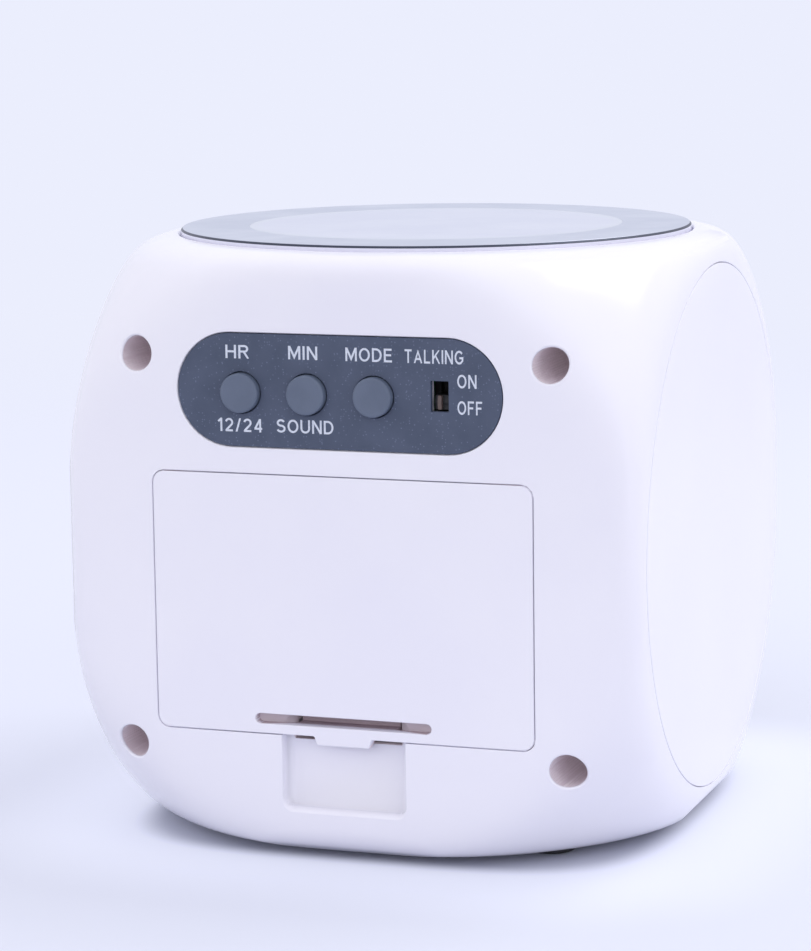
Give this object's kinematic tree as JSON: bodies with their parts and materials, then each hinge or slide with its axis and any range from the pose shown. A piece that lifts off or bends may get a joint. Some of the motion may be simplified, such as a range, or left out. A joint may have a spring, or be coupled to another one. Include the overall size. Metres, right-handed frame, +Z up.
{
  "type": "talking clock",
  "caption": "Rounded cube table clock that speaks the time: round talk plate on top, set buttons and voice switch on the rear, battery door below.",
  "frame": {"origin": "on the table, under the middle of the clock", "axes": "+Z up; -Y faces the display side, +Y the rear with the controls and battery door"},
  "size_m": [0.094, 0.0954, 0.095],
  "materials": {
    "housing_white": "smooth glossy moulded ABS, cool white",
    "inner_white": "plain moulded, unpolished",
    "silver": "satin silver coating on moulded plastic",
    "inlay_white": "frosted white",
    "panel_slate": "fine-grained slate blue-grey with a light speckle",
    "cap_grey": "satin grey-blue",
    "window_clear": "clear acrylic, polished",
    "mask_black": "printed black",
    "lcd_glass": "grey-green liquid crystal panel",
    "guide_clear": "frosted light guide",
    "strip_rubber": "soft contact strip",
    "board_green": "solder-masked laminate",
    "chip_black": "epoxy drop",
    "switch_black": "moulded black",
    "plunger_grey": "moulded grey",
    "switch_steel": "tinned steel case",
    "screw_steel": "zinc-plated steel",
    "spring_steel": "nickel-plated spring steel",
    "cell_wrap": "plain printed sleeve",
    "speaker_steel": "pressed and plated steel",
    "speaker_paper": "pressed paper cone",
    "foot_rubber": "soft black rubber"
  },
  "bodies": {
    "clock_body": {"aaa_cell_lower": "cell_wrap", "aaa_cell_middle": "cell_wrap", "aaa_cell_upper": "cell_wrap", "backlight_guide": "guide_clear", "case_screws": "screw_steel", "chip_cover": "chip_black", "contact_plates": "spring_steel", "contact_springs": "spring_steel", "contact_strips": "strip_rubber", "control_panel": "panel_slate", "dial_mask": "mask_black", "foot_front_left": "foot_rubber", "foot_front_right": "foot_rubber", "foot_rear_left": "foot_rubber", "foot_rear_right": "foot_rubber", "front_lens": "window_clear", "front_shell": "housing_white", "hour_switch": "switch_black", "key_board": "board_green", "key_board_screws": "screw_steel", "lcd_glass": "lcd_glass", "lcd_holder": "inner_white", "left_side_cover": "housing_white", "main_board": "board_green", "main_board_screws": "screw_steel", "minute_switch": "switch_black", "mode_switch": "switch_black", "rear_shell": "housing_white", "right_side_cover": "housing_white", "speaker_cone": "speaker_paper", "speaker_frame": "speaker_steel", "speaker_magnet": "speaker_steel", "talk_board": "board_green", "talk_board_screws": "screw_steel", "talk_springs": "spring_steel", "talk_switch": "switch_black", "talking_switch": "switch_steel", "top_deck": "inner_white"},
    "talk_press": {"talk_plate": "silver", "talk_inlay": "inlay_white", "talk_plunger": "plunger_grey"},
    "hour_key": {"hour_button": "cap_grey", "hour_plunger": "plunger_grey"},
    "minute_key": {"minute_button": "cap_grey", "minute_plunger": "plunger_grey"},
    "mode_key": {"mode_button": "cap_grey", "mode_plunger": "plunger_grey"},
    "voice_slider": {"talking_slider": "switch_black"},
    "door": {"battery_door": "housing_white"}
  },
  "joints": [
    {"name": "talk_press", "type": "slide", "parent": "clock_body", "child": "talk_press", "axis": [0, 0, -1], "range_m": [0, 0.0008], "stiffness_N_per_m": 1800, "springref_m": -0.0006, "deforming": ["talk_springs"]},
    {"name": "hour_press", "type": "slide", "parent": "clock_body", "child": "hour_key", "axis": [0, -1, 0], "range_m": [0, 0.0004], "stiffness_N_per_m": 3000, "springref_m": -0.0002},
    {"name": "minute_press", "type": "slide", "parent": "clock_body", "child": "minute_key", "axis": [0, -1, 0], "range_m": [0, 0.0004], "stiffness_N_per_m": 3000, "springref_m": -0.0002},
    {"name": "mode_press", "type": "slide", "parent": "clock_body", "child": "mode_key", "axis": [0, -1, 0], "range_m": [0, 0.0004], "stiffness_N_per_m": 3000, "springref_m": -0.0002},
    {"name": "voice_slide", "type": "slide", "parent": "clock_body", "child": "voice_slider", "axis": [0, 0, 1], "range_m": [0, 0.002]},
    {"name": "battery_door_swing", "type": "hinge", "parent": "clock_body", "child": "door", "pos_m": [0, 0.0467, 0.0604], "axis": [1, 0, 0], "range_deg": [0, 60]}
  ]
}
